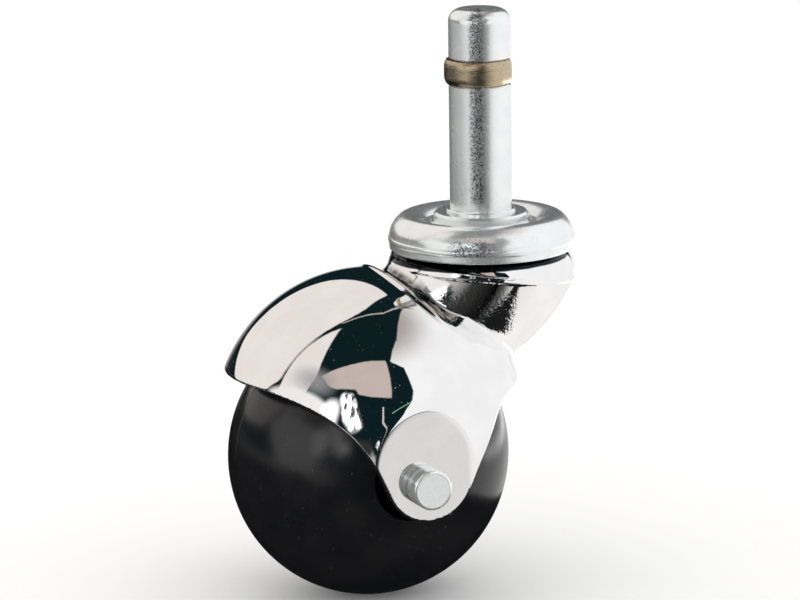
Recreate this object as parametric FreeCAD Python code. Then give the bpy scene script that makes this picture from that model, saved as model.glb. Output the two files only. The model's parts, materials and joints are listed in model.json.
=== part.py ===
import FreeCAD, Part
import math
import os

from FreeCAD import Vector

# Hooded ball caster for a chair leg, in millimetres.
# Frame: +Z up along the stem, origin on the stem axis at the top of the mounting flange.
# The wheel trails towards -X and its axle lies along Y.

# Driving dimensions of the whole caster
WHEEL_R = 25.4              # 2 inch ball wheel
WHEEL_HALF_WIDTH = 24.3     # the ball is slightly flattened along its axle
TRAIL = 22.3                # stem axis to axle, horizontally
AXLE_DROP = 42.3            # mounting face down to the axle
SHANK_R = 11.11 / 2         # 7/16 inch stem
SHANK_TOP = 36.5            # 1 7/16 inch above the mounting face

# Stem
TIP_ROUNDING = 2.3
GROOVE_LOW = 23.0
GROOVE_HIGH = 27.6
GROOVE_R = 4.6
GROOVE_BEVEL = 0.25
FOOT_R = 6.2
FOOT_HEIGHT = 0.5
FLANGE_R = 8.5
FLANGE_CHAMFER = 0.4
FLANGE_UNDER = -1.6
KINGPIN_R = 4.6             # the swivel pin below the flange
RIVET_R = 3.4               # reduced end that takes the lower race and is riveted over
RIVET_HEAD_R = 5.6
RIVET_HEAD_EDGE = 0.3
RIVET_FLAT_R = 2.6
RIVET_END = -14.3

# Grip ring
RING_OUTER_R = 6.05
RING_INNER_R = 5.1
RING_END_R = 5.62
RING_LOW = 23.15
RING_HIGH = 27.45
RING_LAND = 1.6             # height of the straight band round the ring's middle
RING_GAP = 1.4              # width of the split
RING_SHIFT = (-0.3, 0.12)   # the loose ring rests against one side of its groove

# Cap disc
DISC_R = 16.7
DISC_SHEET = 1.2
DISC_CREST_R = 13.4
DISC_CREST = -0.45
DISC_RIM_R = 16.5           # radius of the rolled rim above and below its widest line
DISC_RIM_TOP = -4.2
DISC_UNDER = -6.7
DISC_RIM_INNER_R = 15.2
DISC_RACE = -2.45           # underside of the disc over the upper balls

# Ball bearings of the swivel
UPPER_BALL_R = 3.97 / 2     # 5/32 inch
UPPER_BALL_COUNT = 16
UPPER_RACE_R = 11.4
LOWER_BALL_R = 3.175 / 2    # 1/8 inch
LOWER_BALL_COUNT = 12
LOWER_RACE_R = 6.9
BALL_GAP = 0.02
RACE_R_EXTRA = 0.06         # a race groove is a little wider than its balls
RACE_HALF_WIDTH = 1.7       # the hardened rings set into the horn reach this far each side of the balls
RACE_DEPTH = 1.3
DISC_RACE_ARC = 40          # degrees of the disc's race to each side of the ball's top
CUP_R = 10.3                # pressed cup under the lower balls
CUP_RIM_INNER_R = 9.2
CUP_RIM_HEIGHT = 1.3
CUP_SHEET = 1.6
RIVET_WASHER_R = 7.6
RIVET_WASHER_SHEET = 0.8

# Horn
WALL = 1.5
WEB_TOP = -5.6
WEB_UNDER = -8.2
WEB_TOP_R = 13.9
HORN_BORE_R = KINGPIN_R + 0.06
COLLAR_R = 16.75
COLLAR_TOP = -10.4          # below this the collar is straight, above it a rounded shoulder
SHOULDER_FOOT = (15.2, -6.9)
COLLAR_EDGE = -10.55        # height, on the stem axis, of the collar's leaning lower edge
COLLAR_LEAN = 8.0           # degrees
NECK_TOP_R = 16.55
NECK_FOOT_X = -9.0          # centre of the neck's round foot, just inside the dome
NECK_FOOT_Z = -18.1
NECK_FOOT_R = 14.4
NECK_FOOT_LEAN = 40.0       # degrees
NECK_WALL = 1.8
DOME_R = 28.0
DOME_X = -TRAIL + 0.6       # dome centre, just above the axle
DOME_Z = -AXLE_DROP + 5.5
EAR_OUTER = 26.8            # half width over the flat ears
EAR_INNER = EAR_OUTER - WALL
EAR_BOSS_R = 10.0           # flat round each end of the axle
EAR_END_R = 8.1             # round lower end of each ear
EAR_END_X = -TRAIL + 1.0
EAR_END_Z = -AXLE_DROP + 1.4
LIP_TILT = 49.0             # degrees between the lip's plane and the horizontal
LIP_HEIGHT = 19.3           # distance from the dome centre to the lip's plane
LIP_BEAD_R = 0.8
LIP_SINK = 0.4              # the bead's centre line lies this far below the dome's surface
LIP_HALF_SWEEP = 60         # degrees of the lip's circle to each side of the middle line
EAR_FRONT_ANGLE = 205       # the ear's round end runs between these two angles, in degrees from +X
EAR_REAR_ANGLE = 338
CUTTER_REACH = 60           # half width of the tool that trims the hood's edge

# Axle and wheel
AXLE_R = 3.0
AXLE_HEAD_R = 3.55
AXLE_END = 30.7
AXLE_FACE_R = 2.95
HEAD_GROOVE_DEPTH = 0.22
HEAD_GROOVE_WIDTH = 0.4
HEAD_GROOVES = (0.55, 1.25) # start of each groove, measured from the ear
HUB_FACE = 24.5
HUB_R = 5.0
RECESS_R = 7.7
RECESS_FACE = 20.8
BUSHING_OUTER_R = 4.0
BUSHING_INNER_R = AXLE_R + 0.05
CORE_R = 17.0
CORE_RIB_R = 19.0
CORE_HALF = 15.0
CORE_RIB_HALF = 2.0
SEAM_DEPTH = 0.16
SEAM_WIDTH = 0.32
GATE_STUB_R = 0.65          # what is left of the moulding gate, on the near side
GATE_STUB_HEIGHT = 0.35
GATE_FROM_AXLE = 9.5
GATE_ANGLE = -41.5          # degrees from +X
WASHER_R = 5.4
WASHER_GAP = 0.08

# Heights of the swivel's stack, worked out from the balls
UPPER_BALL_Z = DISC_RACE - UPPER_BALL_R - BALL_GAP
LOWER_BALL_Z = WEB_UNDER - 0.75
CUP_TOP = LOWER_BALL_Z - 0.95
CUP_UNDER = CUP_TOP - CUP_SHEET
RIVET_WASHER_UNDER = CUP_UNDER - RIVET_WASHER_SHEET

UP = Vector(0, 0, 1)
ALONG_AXLE = Vector(0, 1, 0)
AXLE_CENTRE = Vector(-TRAIL, 0, -AXLE_DROP)
DOME_CENTRE = Vector(DOME_X, 0, DOME_Z)


def outline(start, *steps):
    """Closed wire in the XZ plane. A step is a point (line) or a pair of points (arc: middle, end)."""
    edges = []
    here = Vector(start[0], 0, start[1])
    for step in steps:
        if isinstance(step[0], tuple):
            middle, end = (Vector(p[0], 0, p[1]) for p in step)
            edges.append(Part.Arc(here, middle, end).toShape())
        else:
            end = Vector(step[0], 0, step[1])
            edges.append(Part.makeLine(here, end))
        here = end
    first = Vector(start[0], 0, start[1])
    if here.distanceToPoint(first) > 1e-6:
        edges.append(Part.makeLine(here, first))
    return Part.Wire(edges)


def turned(start, *steps):
    """Solid turned about the stem axis from an outline in (radius, height)."""
    return Part.Face(outline(start, *steps)).revolve(Vector(0, 0, 0), UP, 360)


def on_axle(shape):
    """Move a solid turned about Z, with Z as distance along the axle, to the wheel's axle."""
    placed = shape.copy()
    placed.rotate(Vector(0, 0, 0), Vector(1, 0, 0), -90)
    placed.translate(AXLE_CENTRE)
    return placed


def mirrored_in_y(shape):
    return shape.mirror(Vector(0, 0, 0), ALONG_AXLE)


def ball_ring(count, race_r, ball_r, height):
    balls = []
    for index in range(count):
        angle = 2 * math.pi * index / count
        centre = Vector(race_r * math.cos(angle), race_r * math.sin(angle), height)
        balls.append(Part.makeSphere(ball_r, centre))
    return Part.makeCompound(balls)


def ring_groove(race_r, height, section_r):
    return Part.makeTorus(race_r, section_r, Vector(0, 0, height), UP)


def stem():
    """Grip stem, mounting flange and swivel pin, turned as one piece and riveted over below."""
    corner = TIP_ROUNDING * math.sqrt(0.5)
    round_z = SHANK_TOP - TIP_ROUNDING
    round_r = SHANK_R - TIP_ROUNDING
    return turned(
        (0, SHANK_TOP),
        (round_r, SHANK_TOP),
        ((round_r + corner, round_z + corner), (SHANK_R, round_z)),
        (SHANK_R, GROOVE_HIGH + GROOVE_BEVEL),
        (SHANK_R - GROOVE_BEVEL, GROOVE_HIGH),
        (GROOVE_R, GROOVE_HIGH),
        (GROOVE_R, GROOVE_LOW),
        (SHANK_R - GROOVE_BEVEL, GROOVE_LOW),
        (SHANK_R, GROOVE_LOW - GROOVE_BEVEL),
        (SHANK_R, FOOT_HEIGHT),
        (FOOT_R - 0.2, FOOT_HEIGHT),
        (FOOT_R, FOOT_HEIGHT - 0.2),
        (FOOT_R, 0),
        (FLANGE_R - FLANGE_CHAMFER, 0),
        (FLANGE_R, -FLANGE_CHAMFER),
        (FLANGE_R, FLANGE_UNDER),
        (KINGPIN_R, FLANGE_UNDER),
        (KINGPIN_R, CUP_TOP),
        (RIVET_R, CUP_TOP),
        (RIVET_R, RIVET_WASHER_UNDER),
        (RIVET_HEAD_R, RIVET_WASHER_UNDER),
        (RIVET_HEAD_R, RIVET_WASHER_UNDER - RIVET_HEAD_EDGE),
        ((RIVET_HEAD_R - 1.0, RIVET_END + 0.4), (RIVET_FLAT_R, RIVET_END)),
        (0, RIVET_END),
    )


def grip_ring():
    """Split spring ring, barrel shaped outside, loose in the stem's groove."""
    middle = (RING_LOW + RING_HIGH) / 2
    land_low = middle - RING_LAND / 2
    land_high = middle + RING_LAND / 2
    bulge_r = (RING_OUTER_R + RING_END_R) / 2 + 0.12
    ring = turned(
        (RING_INNER_R, RING_LOW),
        (RING_END_R, RING_LOW),
        ((bulge_r, (RING_LOW + land_low) / 2), (RING_OUTER_R, land_low)),
        (RING_OUTER_R, land_high),
        ((bulge_r, (RING_HIGH + land_high) / 2), (RING_END_R, RING_HIGH)),
        (RING_INNER_R, RING_HIGH),
    )
    split = Part.makeBox(2 * RING_OUTER_R, RING_GAP, RING_HIGH, Vector(0, -RING_GAP / 2, RING_LOW - 1))
    split.rotate(Vector(0, 0, 0), UP, 60)
    ring = ring.cut(split)
    ring.translate(Vector(RING_SHIFT[0], RING_SHIFT[1], 0))
    return ring


def cap_disc():
    """Pressed steel dust cap: valley round the flange, crest, sloping shoulder and rolled rim."""
    race_r = UPPER_BALL_R + RACE_R_EXTRA
    race_side = race_r * math.sin(math.radians(DISC_RACE_ARC))
    race_drop = race_r * (1 - math.cos(math.radians(DISC_RACE_ARC)))
    return turned(
        (KINGPIN_R, FLANGE_UNDER),
        (FLANGE_R + 0.3, FLANGE_UNDER),
        ((FLANGE_R + 1.05, FLANGE_UNDER - 0.33), (FLANGE_R + 1.8, FLANGE_UNDER)),
        ((DISC_CREST_R - 1.66, DISC_CREST - 0.3), (DISC_CREST_R, DISC_CREST)),
        ((DISC_CREST_R + 0.72, DISC_CREST - 0.12), (DISC_CREST_R + 1.35, DISC_CREST - 0.47)),
        ((DISC_RIM_R - 0.53, DISC_RIM_TOP + 1.83), (DISC_RIM_R, DISC_RIM_TOP)),
        ((DISC_R, DISC_RIM_TOP - 0.65), (DISC_RIM_R, DISC_RIM_TOP - 1.3)),
        (DISC_RIM_R, DISC_UNDER + 0.4),
        ((DISC_RIM_R - 0.15, DISC_UNDER + 0.1), (DISC_RIM_R - 0.5, DISC_UNDER)),
        ((DISC_RIM_INNER_R + 0.15, DISC_UNDER + 0.15), (DISC_RIM_INNER_R, DISC_UNDER + 0.5)),
        (DISC_RIM_INNER_R, DISC_UNDER + 1.7),
        ((DISC_RIM_INNER_R - 0.9, DISC_RIM_TOP + 0.3), (UPPER_RACE_R + race_side, DISC_RACE - race_drop)),
        ((UPPER_RACE_R, DISC_RACE), (UPPER_RACE_R - race_side, DISC_RACE - race_drop)),
        (KINGPIN_R, FLANGE_UNDER - DISC_SHEET),
    )


def race_blank(race_r, low, high):
    """Plain ring round the stem axis, both the blank of a race ring and the seat it sits in."""
    inner = race_r - RACE_HALF_WIDTH
    outer = race_r + RACE_HALF_WIDTH
    return turned((inner, low), (outer, low), (outer, high), (inner, high))


def upper_race_ring():
    """Hardened ring set into the top of the horn, the lower race of the upper balls."""
    groove_z = UPPER_BALL_Z - BALL_GAP + RACE_R_EXTRA
    groove = ring_groove(UPPER_RACE_R, groove_z, UPPER_BALL_R + RACE_R_EXTRA)
    return race_blank(UPPER_RACE_R, WEB_TOP - RACE_DEPTH, WEB_TOP).cut(groove)


def under_race_ring():
    """Hardened ring set into the underside of the horn's web, the upper race of the lower balls."""
    groove_z = LOWER_BALL_Z + BALL_GAP - RACE_R_EXTRA
    groove = ring_groove(LOWER_RACE_R, groove_z, LOWER_BALL_R + RACE_R_EXTRA)
    return race_blank(LOWER_RACE_R, WEB_UNDER, WEB_UNDER + RACE_DEPTH).cut(groove)


def lower_race_cup():
    """Pressed cup on the riveted end. It carries the lower balls and its rim keeps them in."""
    cup = turned(
        (RIVET_R, CUP_TOP),
        (CUP_RIM_INNER_R, CUP_TOP),
        (CUP_RIM_INNER_R, CUP_TOP + CUP_RIM_HEIGHT),
        (CUP_R, CUP_TOP + CUP_RIM_HEIGHT),
        (CUP_R, CUP_UNDER + 0.5),
        (CUP_R - 0.5, CUP_UNDER),
        (RIVET_R, CUP_UNDER),
    )
    groove = ring_groove(LOWER_RACE_R, LOWER_BALL_Z - BALL_GAP + RACE_R_EXTRA, LOWER_BALL_R + RACE_R_EXTRA)
    return cup.cut(groove)


def rivet_washer():
    return turned(
        (RIVET_R, CUP_UNDER),
        (RIVET_WASHER_R, CUP_UNDER),
        (RIVET_WASHER_R, RIVET_WASHER_UNDER),
        (RIVET_R, RIVET_WASHER_UNDER),
    )


def leaning(degrees):
    """Upward direction that leans away from the wheel."""
    return Vector(math.sin(math.radians(degrees)), 0, math.cos(math.radians(degrees)))


def neck_cone(inset):
    """Skew cone from the collar's lower edge down to the round foot on the dome."""
    top = Part.makeCircle(NECK_TOP_R - inset, Vector(0, 0, COLLAR_EDGE), leaning(COLLAR_LEAN))
    foot_centre = Vector(NECK_FOOT_X, 0, NECK_FOOT_Z)
    foot = Part.makeCircle(NECK_FOOT_R - inset, foot_centre, leaning(NECK_FOOT_LEAN))
    return Part.makeLoft([Part.Wire(top), Part.Wire(foot)], True, True)


def above_collar_edge(shape):
    """The part of a shape that lies above the collar's leaning lower edge."""
    below = Part.makeCylinder(3 * COLLAR_R, COLLAR_R, Vector(0, 0, COLLAR_EDGE), leaning(COLLAR_LEAN) * -1)
    return shape.cut(below)


def neck_outside():
    """Collar with a rounded shoulder under the cap disc, running on into the skew neck."""
    collar_end = COLLAR_EDGE - 4
    collar = turned(
        (0, WEB_TOP),
        (WEB_TOP_R, WEB_TOP),
        SHOULDER_FOOT,
        ((COLLAR_R - 0.42, COLLAR_TOP + 1.9), (COLLAR_R, COLLAR_TOP)),
        (COLLAR_R, collar_end),
        (0, collar_end),
    )
    return above_collar_edge(collar).fuse(neck_cone(0))


def neck_inside():
    """Hollow of the neck below its web, one wall thickness in from the outside."""
    inner_r = COLLAR_R - NECK_WALL
    collar_end = COLLAR_EDGE - 4
    hollow = turned((0, WEB_UNDER), (inner_r, WEB_UNDER), (inner_r, collar_end), (0, collar_end))
    return above_collar_edge(hollow).fuse(neck_cone(NECK_WALL))


def dome(radius, half_width):
    """Sphere above the dome centre, upright cylinder below it, cut off flat at the ears."""
    reach = radius + 10
    ball = Part.makeSphere(radius, DOME_CENTRE)
    upper = Part.makeBox(2 * reach, 2 * reach, reach, DOME_CENTRE - Vector(reach, reach, 0))
    skirt = Part.makeCylinder(radius, reach, DOME_CENTRE - Vector(0, 0, reach), UP)
    slab_corner = DOME_CENTRE - Vector(reach, half_width, 1.5 * reach)
    slab = Part.makeBox(2 * reach, 2 * half_width, 3 * reach, slab_corner)
    return ball.common(upper).fuse(skirt).common(slab)


def ear_bosses():
    """Disc across the horn whose two ends are the flats round the axle."""
    start = Vector(EAR_END_X, -EAR_OUTER, EAR_END_Z)
    return Part.makeCylinder(EAR_BOSS_R, 2 * EAR_OUTER, start, ALONG_AXLE)


def side_profile_cutter():
    """Everything below the hood's edge, as seen from the side: brim, round ear and rear edge."""
    def spline(points, **ends):
        curve = Part.BSplineCurve()
        curve.interpolate(Points=[Vector(x, -CUTTER_REACH, z) for x, z in points], **ends)
        return curve.toShape()

    def ear_point(degrees):
        angle = math.radians(degrees)
        return (EAR_END_X + EAR_END_R * math.cos(angle), EAR_END_Z + EAR_END_R * math.sin(angle))

    def ear_tangent(degrees):
        angle = math.radians(degrees)
        return Vector(-math.sin(angle), 0, math.cos(angle))

    brim_start = (DOME_X - 32, DOME_Z + 10.3)
    brim = [
        brim_start,
        (DOME_X - 23.4, DOME_Z + 10.0),
        (DOME_X - 18.0, DOME_Z + 7.7),
        (DOME_X - 12.7, DOME_Z + 3.0),
        ear_point(EAR_FRONT_ANGLE),
    ]
    rear = [
        ear_point(EAR_REAR_ANGLE),
        (DOME_X + 12.1, DOME_Z + 0.3),
        (DOME_X + 14.1, DOME_Z + 3.8),
        (DOME_X + 16.3, DOME_Z + 6.6),
        (DOME_X + 19.7, DOME_Z + 7.9),
        (DOME_X + 34.0, DOME_Z + 8.3),
    ]
    ear_angles = (EAR_FRONT_ANGLE, 270, EAR_REAR_ANGLE)
    ear_bottom = [Vector(x, -CUTTER_REACH, z) for x, z in map(ear_point, ear_angles)]
    edges = [
        spline(brim, InitialTangent=Vector(1, 0, 0), FinalTangent=ear_tangent(EAR_FRONT_ANGLE)),
        Part.Arc(*ear_bottom).toShape(),
        spline(rear, InitialTangent=ear_tangent(EAR_REAR_ANGLE), FinalTangent=Vector(1, 0, 0)),
    ]
    floor = -AXLE_DROP - 2 * WHEEL_R
    corners = [
        Vector(rear[-1][0], -CUTTER_REACH, rear[-1][1]),
        Vector(rear[-1][0], -CUTTER_REACH, floor),
        Vector(brim_start[0], -CUTTER_REACH, floor),
        Vector(brim_start[0], -CUTTER_REACH, brim_start[1]),
    ]
    edges += [Part.makeLine(a, b) for a, b in zip(corners, corners[1:])]
    return Part.Face(Part.Wire(edges)).extrude(ALONG_AXLE * 2 * CUTTER_REACH)


def lip_bead():
    """Rounded lip across the top of the dome, part of a circle that leans towards the stem."""
    tilt = math.radians(LIP_TILT)
    across = Vector(math.sin(tilt), 0, math.cos(tilt))
    towards_top = Vector(-math.cos(tilt), 0, math.sin(tilt))
    circle_r = math.sqrt((DOME_R - LIP_SINK) ** 2 - LIP_HEIGHT ** 2)
    top = DOME_CENTRE + across * LIP_HEIGHT + towards_top * circle_r
    section = Part.Face(Part.Wire(Part.Circle(top, ALONG_AXLE, LIP_BEAD_R).toShape()))
    end_ball = Part.makeSphere(LIP_BEAD_R, top)
    bead = end_ball
    for half_sweep in (LIP_HALF_SWEEP, -LIP_HALF_SWEEP):
        end = end_ball.copy()
        end.rotate(DOME_CENTRE, across, half_sweep)
        bead = bead.fuse(section.revolve(DOME_CENTRE, across, half_sweep)).fuse(end)
    return bead.removeSplitter()


def horn():
    """Chromed casting: collar, neck, dome over the ball, and an ear each side for the axle."""
    inside = dome(DOME_R - WALL, EAR_INNER).fuse(neck_inside())
    body = dome(DOME_R, EAR_OUTER).fuse(ear_bosses()).fuse(neck_outside()).fuse(lip_bead())
    body = body.cut(inside)
    body = body.cut(side_profile_cutter())
    body = body.cut(turned((0, WEB_UNDER - 1), (HORN_BORE_R, WEB_UNDER - 1), (HORN_BORE_R, 0), (0, 0)))
    body = body.cut(race_blank(UPPER_RACE_R, WEB_TOP - RACE_DEPTH, WEB_TOP))
    body = body.cut(race_blank(LOWER_RACE_R, WEB_UNDER, WEB_UNDER + RACE_DEPTH))
    body = body.cut(axle_bore())
    return body


def axle_bore():
    reach = EAR_OUTER + 10
    return Part.makeCylinder(AXLE_R, 2 * reach, AXLE_CENTRE - ALONG_AXLE * reach, ALONG_AXLE)


def axle():
    """Pin through both ears, with a grooved button head formed on each end."""
    head_edge = [(AXLE_HEAD_R, EAR_OUTER)]
    for start in HEAD_GROOVES:
        low = EAR_OUTER + start
        middle = (AXLE_HEAD_R - HEAD_GROOVE_DEPTH, low + HEAD_GROOVE_WIDTH / 2)
        head_edge += [(AXLE_HEAD_R, low), (middle, (AXLE_HEAD_R, low + HEAD_GROOVE_WIDTH))]
    half = turned(
        (0, 0),
        (AXLE_R, 0),
        (AXLE_R, EAR_OUTER),
        *head_edge,
        (AXLE_HEAD_R, AXLE_END - 0.5),
        ((AXLE_HEAD_R - 0.15, AXLE_END - 0.12), (AXLE_FACE_R, AXLE_END)),
        (0, AXLE_END),
    )
    far_half = on_axle(half)
    near_half = mirrored_in_y(far_half)
    return far_half.fuse(near_half).removeSplitter()


def thrust_washer():
    """Loose washer between the wheel's hub and the ear on the far side (+Y)."""
    inner = HUB_FACE + WASHER_GAP
    outer = EAR_INNER - WASHER_GAP
    return on_axle(turned(
        (BUSHING_INNER_R, inner),
        (WASHER_R, inner),
        (WASHER_R, outer),
        (BUSHING_INNER_R, outer),
    ))


def core_blank():
    """The hard core as a full solid, without the bore for the bushing."""
    hub_edge = 0.3
    half = [
        (CORE_R, CORE_RIB_HALF + 1),
        (CORE_R, CORE_HALF),
        (RECESS_R, RECESS_FACE),
        (HUB_R, RECESS_FACE),
        (HUB_R, HUB_FACE - hub_edge),
        (HUB_R - hub_edge, HUB_FACE),
        (0, HUB_FACE),
    ]
    other_half = [(radius, -along) for radius, along in reversed(half)]
    rib = [(CORE_RIB_R, -CORE_RIB_HALF), (CORE_RIB_R, CORE_RIB_HALF)]
    return on_axle(turned(*other_half, *rib, *half))


def wheel_core():
    bore = turned((0, -WHEEL_R), (BUSHING_OUTER_R, -WHEEL_R), (BUSHING_OUTER_R, WHEEL_R), (0, WHEEL_R))
    return core_blank().cut(on_axle(bore))


def wheel_bushing():
    return on_axle(turned(
        (BUSHING_INNER_R, -HUB_FACE),
        (BUSHING_OUTER_R, -HUB_FACE),
        (BUSHING_OUTER_R, HUB_FACE),
        (BUSHING_INNER_R, HUB_FACE),
    ))


def wheel_tread():
    """Ball shaped tread moulded over the core, with a fine parting line and a recess round each hub."""
    # Flattened ball: half an ellipse in (radius, distance along the axle), turned about the axle
    ellipse = Part.Ellipse(Vector(WHEEL_R, 0, 0), Vector(0, 0, WHEEL_HALF_WIDTH), Vector(0, 0, 0))
    half = Part.Arc(ellipse, -math.pi / 2, math.pi / 2).toShape()
    closing = Part.makeLine(Vector(0, 0, WHEEL_HALF_WIDTH), Vector(0, 0, -WHEEL_HALF_WIDTH))
    ball = Part.Face(Part.Wire([half, closing])).revolve(Vector(0, 0, 0), UP, 360)
    clear_of_ball = 1.0
    seam_flare = SEAM_WIDTH / 2 * (1 + clear_of_ball / SEAM_DEPTH)
    seam = turned(
        (WHEEL_R - SEAM_DEPTH, 0),
        (WHEEL_R + clear_of_ball, -seam_flare),
        (WHEEL_R + clear_of_ball, seam_flare),
    )
    recess = turned(
        (0, RECESS_FACE),
        (RECESS_R, RECESS_FACE),
        (RECESS_R + 0.5, WHEEL_HALF_WIDTH + clear_of_ball),
        (0, WHEEL_HALF_WIDTH + clear_of_ball),
    )
    recess_other = recess.mirror(Vector(0, 0, 0), UP)
    tread = ball.cut(seam).cut(recess).cut(recess_other)
    return on_axle(tread).fuse(gate_stub()).cut(core_blank())


def gate_stub():
    """Short round stub where the tread was broken off its moulding gate."""
    angle = math.radians(GATE_ANGLE)
    surface = WHEEL_HALF_WIDTH * math.sqrt(1 - (GATE_FROM_AXLE / WHEEL_R) ** 2)
    top = -surface - GATE_STUB_HEIGHT
    centre = Vector(GATE_FROM_AXLE * math.cos(angle), top, GATE_FROM_AXLE * math.sin(angle))
    return Part.makeCylinder(GATE_STUB_R, GATE_STUB_HEIGHT + 1, AXLE_CENTRE + centre, ALONG_AXLE)


def build():
    far_washer = thrust_washer()
    return {
        "stem": stem(),
        "grip_ring": grip_ring(),
        "cap_disc": cap_disc(),
        "upper_bearing_balls": ball_ring(UPPER_BALL_COUNT, UPPER_RACE_R, UPPER_BALL_R, UPPER_BALL_Z),
        "upper_race_ring": upper_race_ring(),
        "horn": horn(),
        "under_race_ring": under_race_ring(),
        "lower_bearing_balls": ball_ring(LOWER_BALL_COUNT, LOWER_RACE_R, LOWER_BALL_R, LOWER_BALL_Z),
        "lower_race_cup": lower_race_cup(),
        "rivet_washer": rivet_washer(),
        "axle": axle(),
        "thrust_washer_near": mirrored_in_y(far_washer),
        "thrust_washer_far": far_washer,
        "wheel_core": wheel_core(),
        "wheel_bushing": wheel_bushing(),
        "wheel_tread": wheel_tread(),
    }


os.makedirs("parts", exist_ok=True)
for node, shape in build().items():
    shape.exportStep(f"parts/{node}.step")
    print(node, "volume", round(shape.Volume, 1), "valid", shape.isValid(), "solids", len(shape.Solids))
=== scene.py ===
"""Looks of the hooded ball caster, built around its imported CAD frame.

Blender objects are in metres. The horn's distance field and all named sizes are in millimetres
of the same frame: +Z up along the stem, wheel trailing towards -X, axle along Y.
"""

import json
import math

import bmesh
import bpy
import numpy as np
import openvdb
from mathutils import Matrix, Vector


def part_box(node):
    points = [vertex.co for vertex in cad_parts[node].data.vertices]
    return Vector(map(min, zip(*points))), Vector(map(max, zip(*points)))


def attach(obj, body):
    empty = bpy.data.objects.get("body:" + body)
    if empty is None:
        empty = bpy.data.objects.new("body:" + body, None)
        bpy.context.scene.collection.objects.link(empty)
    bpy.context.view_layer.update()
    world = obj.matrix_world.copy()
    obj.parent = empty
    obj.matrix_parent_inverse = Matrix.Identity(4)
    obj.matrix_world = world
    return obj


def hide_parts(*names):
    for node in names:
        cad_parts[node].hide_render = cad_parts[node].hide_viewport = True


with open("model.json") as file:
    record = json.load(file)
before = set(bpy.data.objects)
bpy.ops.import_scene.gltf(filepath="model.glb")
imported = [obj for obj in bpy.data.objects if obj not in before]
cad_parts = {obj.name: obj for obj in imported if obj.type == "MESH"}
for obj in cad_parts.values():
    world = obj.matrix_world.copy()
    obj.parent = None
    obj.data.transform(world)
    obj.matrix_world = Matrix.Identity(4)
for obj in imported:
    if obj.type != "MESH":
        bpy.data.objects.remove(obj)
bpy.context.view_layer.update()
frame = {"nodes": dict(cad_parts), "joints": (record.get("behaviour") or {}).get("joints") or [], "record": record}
MM = 0.001


def box_mm(node):
    """Lowest and highest corner of a CAD node, in millimetres."""
    return [np.array(corner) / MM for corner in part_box(node)]


def joint_mm(name):
    for joint in frame["joints"]:
        if joint["name"] == name:
            return np.array(joint["pos_m"]) / MM


# Main sizes, read from the frame
AXLE = joint_mm("wheel_spin")
HORN_LOW, HORN_HIGH = box_mm("horn")
TREAD_LOW, TREAD_HIGH = box_mm("wheel_tread")
WHEEL_R = (TREAD_HIGH[2] - TREAD_LOW[2]) / 2
WHEEL_HALF_WIDTH = (TREAD_HIGH[1] - TREAD_LOW[1]) / 2
EAR_OUTER = HORN_HIGH[1]
COLLAR_R = HORN_HIGH[0]
WEB_TOP = HORN_HIGH[2]
FLOOR_Z = TREAD_LOW[2]

# Hood, a hollow ball round the dome's centre with two flat ears
WALL = 1.5
HOOD_CLEARANCE = 1.1                            # between the ball and the inside of the hood
DOME_R = WHEEL_R + HOOD_CLEARANCE + WALL
DOME_CENTRE = AXLE + np.array([0.6, 0, 5.5])
BRIM = ((-32, 10.3), (-23.4, 10.0), (-18.0, 7.7), (-12.7, 3.0))      # x and z from the dome's centre
REAR_ARCH = ((12.1, 0.3), (14.1, 3.8), (16.3, 6.6), (19.7, 7.9), (34.0, 8.3))
EAR_END = AXLE + np.array([1.0, 0, 1.4])        # centre of the ears' round lower end
EAR_END_R = 8.1
EAR_END_ANGLES = (math.radians(205), math.radians(338))
EAR_FLAT = AXLE + np.array([-0.2, 0, 3.3])      # upper centre of the flat round the axle
EAR_FLAT_R = 8.9
EAR_FLAT_LENGTH = 5.5
EAR_BLEND = 0.8                                 # how softly the dome turns into the flat of the ear
LIP_TILT = math.radians(49)                     # between the lip's plane and the horizontal
LIP_DISTANCE = 19.3                             # from the dome centre to the lip's plane
LIP_HEIGHT = 0.35
LIP_HALF_WIDTH = 0.55
LIP_FADE = (math.radians(50), math.radians(66))
VALLEY_START = 0.75                             # the sunk band behind the lip
VALLEY_DEPTH = 0.9

# Collar, neck and web
COLLAR_EDGE = -12.9                             # lower edge of the collar at its rear
COLLAR_LEAN = 0.14                              # that edge rises towards the dome
COLLAR_BEAD = 0.12                              # the edge is slightly rolled
SHOULDER_Z = -8.6                               # the collar rounds inwards above this height
NECK_PIVOT = (-21.5, -7.5)                      # the neck is a tube bent about this point in x and z
NECK_ANGLES = (math.radians(8), math.radians(36))   # below the horizontal, at collar and at dome
NECK_CENTRE = (21.7, 18.0)                      # from the pivot to the tube's middle at those angles
NECK_R = (16.5, 13.8)
NECK_WALL = 1.8
NECK_FOOT_DISTANCE = 23.8                       # from the dome centre to the neck's foot
WEB_UNDER = WEB_TOP - 2.6
PIN_BORE_R = 4.66
AXLE_BORE_R = 3.0
UPPER_RACE_R = 11.4
LOWER_RACE_R = 6.9
RACE_HALF_WIDTH = 1.7
RACE_DEPTH = 1.3
EDGE_ROUNDING = 0.55
VOXEL = 0.3

# Ball
RECESS_R = 7.7                                  # recess round each hub
RECESS_FACE = 20.8
RECESS_BORE_R = 5.1
GROOVE_DEPTH = 0.16                             # parting groove round the middle
STUB_FROM_AXLE = 9.5                            # gate stub
STUB_ANGLE = math.radians(-41.5)
STUB_R = 0.65
STUB_HEIGHT = 0.35
STUB_ROOT = 0.3

# Painted reflection: a speckled grey streak painted into the zinc plate, placed in degrees from the front
REFLECTION_STREAK_AZIMUTH = 29
REFLECTION_STREAK_WIDTH = 19

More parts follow.
